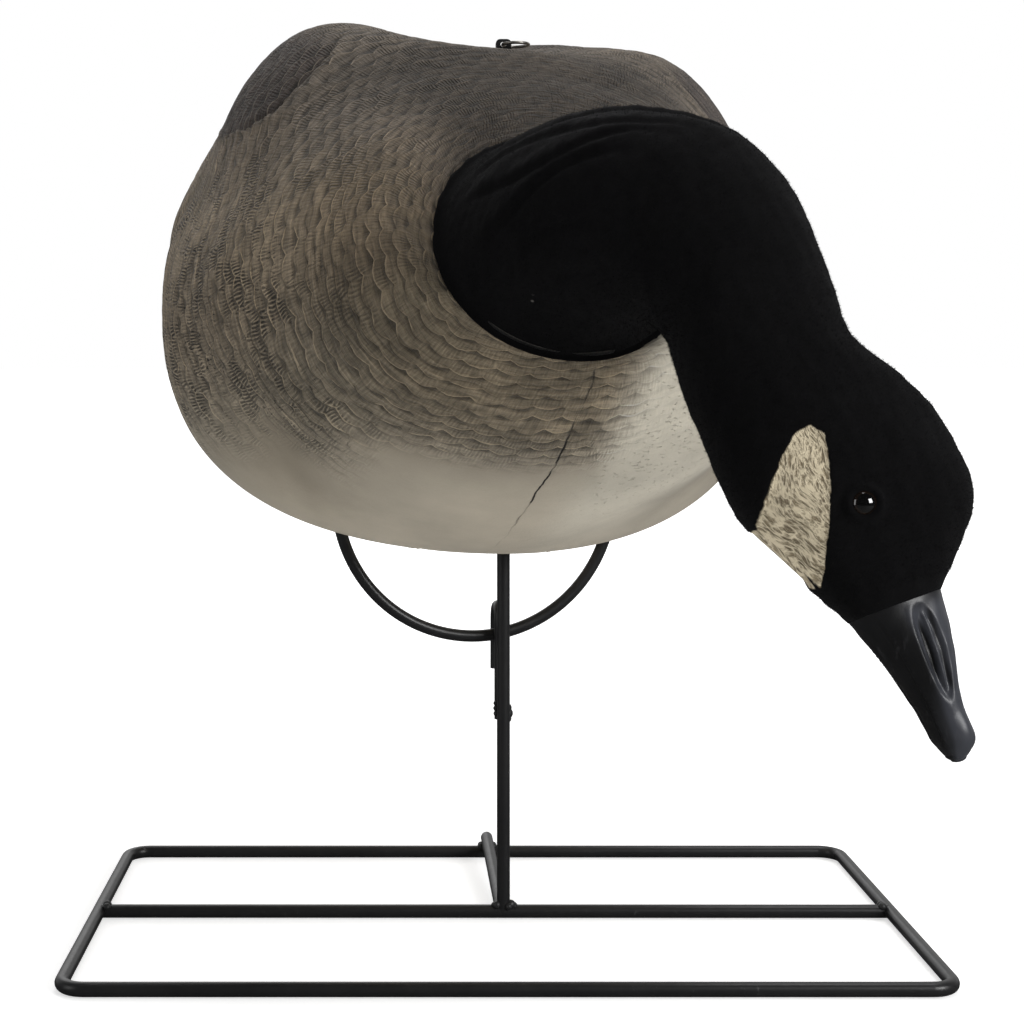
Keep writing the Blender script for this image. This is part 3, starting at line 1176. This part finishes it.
rod = coat_material("rod_black_paint", (0.0085, 0.0085, 0.009), 0.35)
weldm = coat_material("weld_black_paint", (0.011, 0.011, 0.0115), 0.9, 0.45, 2.2)
hoopm = coat_material("hoop_black_paint", (0.009, 0.009, 0.0095), 0.45, 0.33)
for n in ("base_frame", "base_cross_bar", "base_spine_bar", "post", "keeper_hook"):
    finish_node(n, rod)
finish_node("stand_welds", weldm)
finish_node("hoop", hoopm)
finish_node("retaining_ring", metal_material("ring_steel", (0.42, 0.40, 0.37), 0.18, 0.5))
finish_node("post_shoulder", metal_material("shoulder_steel", (0.36, 0.35, 0.34), 0.28, 0.4))
zinc = metal_material("zinc_fasteners", (0.62, 0.63, 0.64), 0.24, 0.35)
finish_node("hoop_washers", zinc)
finish_node("hoop_nuts", zinc)
finish_node("pivot_ball", plastic_material("ball_nylon", (0.55, 0.54, 0.50), 0.34, 0.3, 0.5, 0.05))
finish_node("pivot_cup", plastic_material("cup_plastic", (0.050, 0.047, 0.042), 0.42, 0.5))
finish_node("hoop_bosses", plastic_material("boss_plastic", (0.055, 0.050, 0.044), 0.46, 0.5))
finish_node("back_grommet", plastic_material("grommet_rubber", (0.016, 0.016, 0.016), 0.60, 0.8, 0.3))
finish_node("belly_slot_liner", plastic_material("liner_rubber", (0.020, 0.020, 0.019), 0.58, 0.8, 0.3))
finish_node("neck_socket", plastic_material("socket_plastic", (0.030, 0.029, 0.028), 0.45, 0.6))
finish_node("neck_spigot", plastic_material("spigot_plastic", (0.026, 0.026, 0.026), 0.42, 0.6))
AIM_R = unit((0.02, -0.985, 0.17))
AIM_L = unit((-0.02, 0.985, 0.10))
finish_node("eye_right", eye_material("eye_glass_right", EYES[0] / 1000, AIM_R))
finish_node("eye_left", eye_material("eye_glass_left", EYES[1] / 1000, AIM_L))

# --------------------------------------------------------------------- studio
sc = bpy.context.scene
floor_me = bpy.data.meshes.new("floor")
n_f = 9
xs = np.linspace(-30, 30, n_f)
fv = [(x, y, -0.0004) for y in xs for x in xs]
ff = [(j * n_f + i, j * n_f + i + 1, (j + 1) * n_f + i + 1, (j + 1) * n_f + i)
      for j in range(n_f - 1) for i in range(n_f - 1)]
floor_me.from_pydata(fv, [], ff)
floor = bpy.data.objects.new("floor", floor_me)
sc.collection.objects.link(floor)
for p in floor_me.polygons:
    p.use_smooth = True
fg = Graph("pale_floor")
flp = fg.t.nodes.new("ShaderNodeLightPath")
pale = fg.mix(fg.noise(3, 2, 0.5), (0.90, 0.90, 0.90), (0.93, 0.93, 0.93))
away = fg.t.nodes.new("ShaderNodeVectorMath")
away.operation = "LENGTH"
fg.put(away.inputs[0], fg.coord())
fg.set(Base_Color=fg.mix(flp.outputs["Is Glossy Ray"], pale, (0.10, 0.10, 0.10)),
       Roughness=0.85, Specular_IOR_Level=0.1,
       Emission_Color=(1.0, 1.0, 1.0))
fg.put(fg.b.inputs["Emission Strength"],
       fg.mixf(flp.outputs["Is Camera Ray"],
               fg.mixf(flp.outputs["Is Glossy Ray"], 0.10, 0.0),
               fg.add(0.58, fg.mul(fg.ss(away.outputs["Value"], 0.5, 1.3), 0.5))))
floor_me.materials.append(fg.m)

w = bpy.data.worlds.new("studio")
sc.world = w
w.use_nodes = True
wn = w.node_tree
wn.nodes.clear()
wo = wn.nodes.new("ShaderNodeOutputWorld")
lp = wn.nodes.new("ShaderNodeLightPath")
tc = wn.nodes.new("ShaderNodeTexCoord")
sx = wn.nodes.new("ShaderNodeSeparateXYZ")
wn.links.new(tc.outputs["Generated"], sx.inputs[0])


def wmap(src, a, b, lo_, hi_):
    n = wn.nodes.new("ShaderNodeMapRange")
    n.interpolation_type = "SMOOTHSTEP"
    wn.links.new(src, n.inputs["Value"])
    for k_, v_ in zip(("From Min", "From Max", "To Min", "To Max"), (a, b, lo_, hi_)):
        n.inputs[k_].default_value = v_
    return n.outputs["Result"]


def wmix(t, a, b):
    n = wn.nodes.new("ShaderNodeMix")
    for i_, v_ in ((0, t), (2, a), (3, b)):
        if isinstance(v_, bpy.types.NodeSocket):
            wn.links.new(v_, n.inputs[i_])
        else:
            n.inputs[i_].default_value = v_
    return n.outputs[0]


# dim studio in front, bright white sweep behind the object
soft = wmap(sx.outputs[1], -0.35, 0.55, 0.21, 0.48)
gloss = wmap(sx.outputs[1], 0.10, 0.75, 0.022, 0.64)
strength = wmix(lp.outputs["Is Glossy Ray"], soft, gloss)
strength = wmix(lp.outputs["Is Camera Ray"], strength, 1.0)
bg = wn.nodes.new("ShaderNodeBackground")
bg.inputs[0].default_value = (1, 1, 1, 1)
wn.links.new(strength, bg.inputs[1])
wn.links.new(bg.outputs[0], wo.inputs[0])


def area(name, loc, target, size, watts, color=(1, 1, 1)):
    ld = bpy.data.lights.new(name, "AREA")
    ld.shape = "RECTANGLE"
    ld.size, ld.size_y = size
    ld.energy = watts
    ld.color = color
    o = bpy.data.objects.new(name, ld)
    sc.collection.objects.link(o)
    o.location = loc
    o.rotation_euler = (Vector(target) - Vector(loc)).to_track_quat("-Z", "Y").to_euler()
    return o


mid = (0.0, 0.0, 0.28)
area("key_right", (1.35, -1.35, 0.95), mid, (0.8, 0.8), 24)
area("fill_left", (-1.7, -0.9, 0.7), mid, (0.7, 1.2), 5)
area("top_soft", (0.3, 0.2, 1.9), mid, (1.0, 1.0), 10)
area("back_rim", (-0.6, 1.8, 1.2), mid, (1.4, 1.0), 6)

cam_d = bpy.data.cameras.new("camera")
cam = bpy.data.objects.new("camera", cam_d)
sc.collection.objects.link(cam)
cam_d.sensor_width = 36.0
cam_d.lens = 62.7
cam_d.clip_start, cam_d.clip_end = 0.02, 50
CAM = Vector((-0.0529, -0.870, 0.275))
cam.location = CAM
cam.rotation_euler = (math.radians(90), 0, 0)
# the lens shift belongs to this viewpoint only
for path, value in (("shift_x", 0.1143), ("shift_y", -0.1543)):
    dr = cam_d.driver_add(path).driver
    dr.type = "SCRIPTED"
    names = ("x", "y", "z")
    for nm, tt_ in zip(names, ("LOC_X", "LOC_Y", "LOC_Z")):
        va = dr.variables.new()
        va.name = nm
        va.type = "TRANSFORMS"
        va.targets[0].id = cam
        va.targets[0].transform_type = tt_
        va.targets[0].transform_space = "WORLD_SPACE"
    dr.expression = "%f if abs(x+0.0529)+abs(y+0.870)+abs(z-0.275) < 0.002 else 0.0" % value
sc.camera = cam
sc.view_settings.view_transform = "Standard"
sc.view_settings.look = "None"
sc.view_settings.exposure = 0.0
sc.view_settings.gamma = 1.0

bpy.context.view_layer.update()
